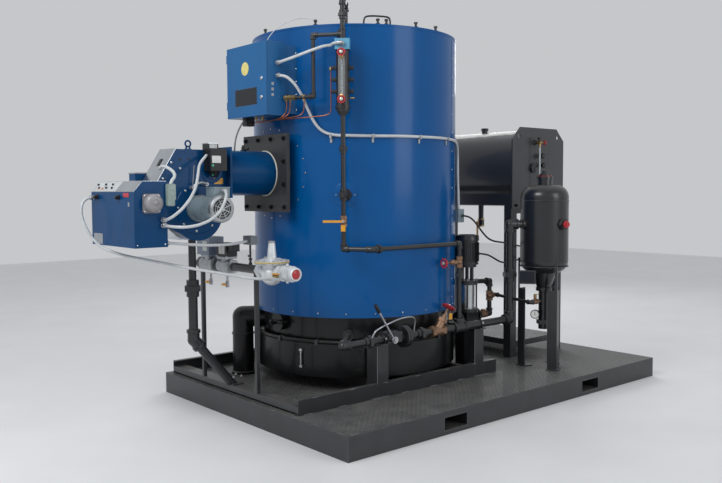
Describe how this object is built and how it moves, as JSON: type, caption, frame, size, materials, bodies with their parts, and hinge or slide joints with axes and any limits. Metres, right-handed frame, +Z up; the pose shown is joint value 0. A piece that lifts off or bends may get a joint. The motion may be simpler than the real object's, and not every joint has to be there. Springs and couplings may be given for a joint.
{
  "type": "skid-mounted vertical boiler package",
  "caption": "Vertical insulated boiler on a steel skid with side burner, gas train, controls, blowdown separator, feedwater tank and feed pump.",
  "frame": {"origin": "centre of the skid's underside", "axes": "+X along the skid's long side from the burner end to the tank end, +Y from the side with the drain piping to the far side, +Z up"},
  "size_m": [4.3195, 2.286, 2.93],
  "materials": {
    "charcoal_paint": "semi-gloss charcoal paint on steel",
    "blue_jacket_paint": "glossy deep blue paint on sheet steel",
    "blue_burner_enamel": "semi-gloss blue enamel",
    "grey_machine_paint": "satin grey machine paint",
    "black_plastic": "satin black plastic and painted casting",
    "cast_aluminium": "cast and machined",
    "bronze": "cast bronze, slightly dulled",
    "stainless": "brushed stainless",
    "red_handwheel_paint": "gloss red paint",
    "yellow_lever_grip": "yellow dipped vinyl over steel",
    "gauge_glass": "clear gauge glass"
  },
  "bodies": {
    "package": {"base_elbow_pipe": "charcoal_paint", "blast_tube": "blue_burner_enamel", "blowdown_pipe": "charcoal_paint", "blower_housing": "blue_burner_enamel", "blower_motor": "grey_machine_paint", "boiler_rails": "charcoal_paint", "bronze_valves": "bronze", "burner_conduits": "black_plastic", "burner_controls": "black_plastic", "burner_leg": "charcoal_paint", "burner_plate": "blue_burner_enamel", "cabinet_box": "blue_burner_enamel", "cabinet_conduits": "black_plastic", "column_drain_pipe": "charcoal_paint", "column_riser": "charcoal_paint", "console_box": "blue_burner_enamel", "cradle_channels": "charcoal_paint", "deck_plate": "charcoal_paint", "feed_pipework": "charcoal_paint", "fork_pockets": "charcoal_paint", "gas_actuators": "grey_machine_paint", "gas_pipe": "charcoal_paint", "gas_regulator": "cast_aluminium", "gas_valve_bodies": "cast_aluminium", "gauge_glass": "gauge_glass", "handhole_cover": "charcoal_paint", "jacket": "blue_jacket_paint", "lower_drum": "charcoal_paint", "pressure_vessel": "charcoal_paint", "pump_body": "black_plastic", "pump_cable_lower": "black_plastic", "pump_cable_upper": "black_plastic", "pump_motor": "black_plastic", "pump_pedestal": "charcoal_paint", "pump_sleeve": "stainless", "pump_switch_box": "grey_machine_paint", "separator_legs": "charcoal_paint", "separator_vessel": "charcoal_paint", "skid_cross_members": "charcoal_paint", "skid_ends": "charcoal_paint", "skid_sides": "charcoal_paint", "support_posts": "charcoal_paint", "tank_ends": "charcoal_paint", "tank_gauge": "bronze", "tank_shell": "charcoal_paint", "tank_stand": "charcoal_paint", "top_cover": "blue_jacket_paint", "top_nozzles": "charcoal_paint", "water_column": "charcoal_paint"},
    "cabinet_door": {"cabinet_door": "blue_burner_enamel"},
    "drain_lever": {"drain_valve_lever": "yellow_lever_grip"},
    "gate_wheel": {"gate_valve_handwheel": "red_handwheel_paint"},
    "quick_lever": {"quick_valve_lever": "stainless"},
    "y_wheel": {"y_valve_handwheel": "red_handwheel_paint"},
    "gauge_wheel_low": {"gauge_handwheel_low": "red_handwheel_paint"},
    "gauge_wheel_high": {"gauge_handwheel_high": "red_handwheel_paint"},
    "tank_gauge_wheel": {"tank_gauge_handwheel": "red_handwheel_paint"},
    "tank_lever": {"tank_drain_lever": "yellow_lever_grip"},
    "gas_cock_far": {"gas_cock_handle_far": "yellow_lever_grip"},
    "gas_cock_near": {"gas_cock_handle_near": "yellow_lever_grip"}
  },
  "joints": [
    {"name": "cabinet_door_hinge", "type": "hinge", "parent": "package", "child": "cabinet_door", "pos_m": [-1.487, 0.491, 2.388], "axis": [0, 0, -1], "range_deg": [0, 110]},
    {"name": "drain_lever_turn", "type": "hinge", "parent": "package", "child": "drain_lever", "pos_m": [-1.13115, -0.42115, 1.392], "axis": [-0.7071, -0.7071, 0], "range_deg": [0, 90]},
    {"name": "gate_wheel_turn", "type": "hinge", "parent": "package", "child": "gate_wheel", "pos_m": [-0.318, -0.6, 1.062], "axis": [-1, 0, 0], "range_deg": [0, 720]},
    {"name": "quick_lever_turn", "type": "hinge", "parent": "package", "child": "quick_lever", "pos_m": [-0.905, -0.69, 0.573], "axis": [0, 1, 0], "range_deg": [0, 90]},
    {"name": "y_wheel_turn", "type": "hinge", "parent": "package", "child": "y_wheel", "pos_m": [-0.2684, -0.6, 0.7298], "axis": [0.6, 0, 0.8], "range_deg": [0, 720]},
    {"name": "gauge_wheel_low_turn", "type": "hinge", "parent": "package", "child": "gauge_wheel_low", "pos_m": [-1.2061, -0.4961, 2.218], "axis": [-0.7071, -0.7071, 0], "range_deg": [0, 720]},
    {"name": "gauge_wheel_high_turn", "type": "hinge", "parent": "package", "child": "gauge_wheel_high", "pos_m": [-1.2061, -0.4961, 2.532], "axis": [-0.7071, -0.7071, 0], "range_deg": [0, 720]},
    {"name": "tank_gauge_wheel_turn", "type": "hinge", "parent": "package", "child": "tank_gauge_wheel", "pos_m": [1.126, -0.418, 2.008], "axis": [1, 0, 0], "range_deg": [0, 720]},
    {"name": "tank_lever_turn", "type": "hinge", "parent": "package", "child": "tank_lever", "pos_m": [1.07, 0.291, 1.3], "axis": [-1, 0, 0], "range_deg": [0, 90]},
    {"name": "gas_cock_far_turn", "type": "hinge", "parent": "package", "child": "gas_cock_far", "pos_m": [-1.6745, 0.495, 0.938], "axis": [-1, 0, 0], "range_deg": [0, 90]},
    {"name": "gas_cock_near_turn", "type": "hinge", "parent": "package", "child": "gas_cock_near", "pos_m": [-1.6745, 0.265, 0.938], "axis": [-1, 0, 0], "range_deg": [0, 90]}
  ]
}
